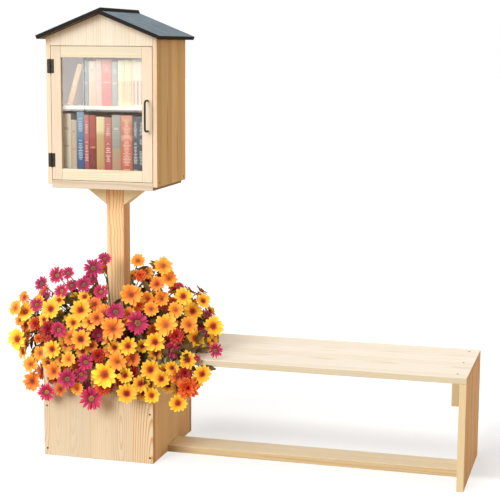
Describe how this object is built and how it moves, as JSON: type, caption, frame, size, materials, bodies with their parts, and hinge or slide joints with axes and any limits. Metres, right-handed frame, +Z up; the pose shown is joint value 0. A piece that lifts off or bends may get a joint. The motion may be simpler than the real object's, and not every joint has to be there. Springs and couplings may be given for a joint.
{
  "type": "street book exchange box",
  "caption": "Glazed wooden book cabinet with a gabled roof on a post, set in a flower planter that carries one end of a plank bench.",
  "frame": {"origin": "on the ground under the middle of the post and planter", "axes": "+X along the bench away from the planter, +Y from the door side to the back, +Z up"},
  "size_m": [1.8642, 0.682, 1.7849],
  "materials": {
    "pine_boards": "clear-coated planed pine, glued up from strips",
    "pine_post": "planed pine with reddish grain",
    "roof_felt": "mineral roofing felt, slate grey on top with dark edges",
    "glazing": "clear flat pane",
    "black_metal": "satin black",
    "black_plastic": "matte",
    "zinc_steel": "zinc plated",
    "soil": "loose dark potting soil",
    "daisies_mixed_left": "mixed petals, green stems and leaves",
    "daisies_mixed_right": "mixed petals, green stems and leaves",
    "daisies_mixed_back": "mixed petals, green stems and leaves",
    "book_greys": "grey covers",
    "book_creams": "cream covers",
    "book_blues": "blue covers",
    "book_reds": "red covers",
    "book_yellows": "ochre cover",
    "book_pinks": "pink covers"
  },
  "bodies": {
    "stand": {"planter_front": "pine_boards", "planter_back": "pine_boards", "planter_left": "pine_boards", "planter_right": "pine_boards", "planter_bottom": "pine_boards", "seat_board": "pine_boards", "end_panel": "pine_boards", "cleat_at_end_panel": "pine_boards", "cleat_at_planter": "pine_boards", "stretcher": "pine_boards", "brace_left": "pine_boards", "brace_right": "pine_boards", "cabinet_base": "pine_boards", "cabinet_shelf": "pine_boards", "cabinet_left_side": "pine_boards", "cabinet_right_side": "pine_boards", "cabinet_front_gable": "pine_boards", "cabinet_back": "pine_boards", "roof_board_left": "pine_boards", "roof_board_right": "pine_boards", "post": "pine_post", "roof_felt_left": "roof_felt", "roof_felt_right": "roof_felt", "hinge_lower_fixed_leaf": "black_metal", "hinge_lower_pin": "black_metal", "hinge_upper_fixed_leaf": "black_metal", "hinge_upper_pin": "black_metal", "catch_magnet": "black_plastic", "soil": "soil", "daisies_left": "daisies_mixed_left", "daisies_right": "daisies_mixed_right", "daisies_back": "daisies_mixed_back", "book_lower_01": "book_greys", "book_lower_08": "book_greys", "book_upper_02": "book_greys", "book_upper_06": "book_greys", "book_lower_02": "book_creams", "book_upper_01": "book_creams", "book_upper_03": "book_creams", "book_upper_04": "book_creams", "book_upper_07": "book_creams", "book_upper_08": "book_creams", "book_lower_03": "book_blues", "book_lower_10": "book_blues", "book_lower_04": "book_reds", "book_lower_05": "book_reds", "book_lower_07": "book_reds", "book_lower_09": "book_reds", "book_lower_06": "book_yellows", "book_upper_05": "book_pinks", "book_upper_09": "book_pinks"},
    "door": {"door_stile_hinge_side": "pine_boards", "door_stile_handle_side": "pine_boards", "door_rail_bottom": "pine_boards", "door_rail_top": "pine_boards", "door_pane": "glazing", "door_handle": "black_metal", "strike_plate": "zinc_steel", "hinge_lower_door_leaf": "black_metal", "hinge_upper_door_leaf": "black_metal"}
  },
  "joints": [
    {"name": "door_hinge", "type": "hinge", "parent": "stand", "child": "door", "pos_m": [-0.21125, -0.1805, 1.3741], "axis": [0, 0, -1], "range_deg": [0, 170]}
  ]
}
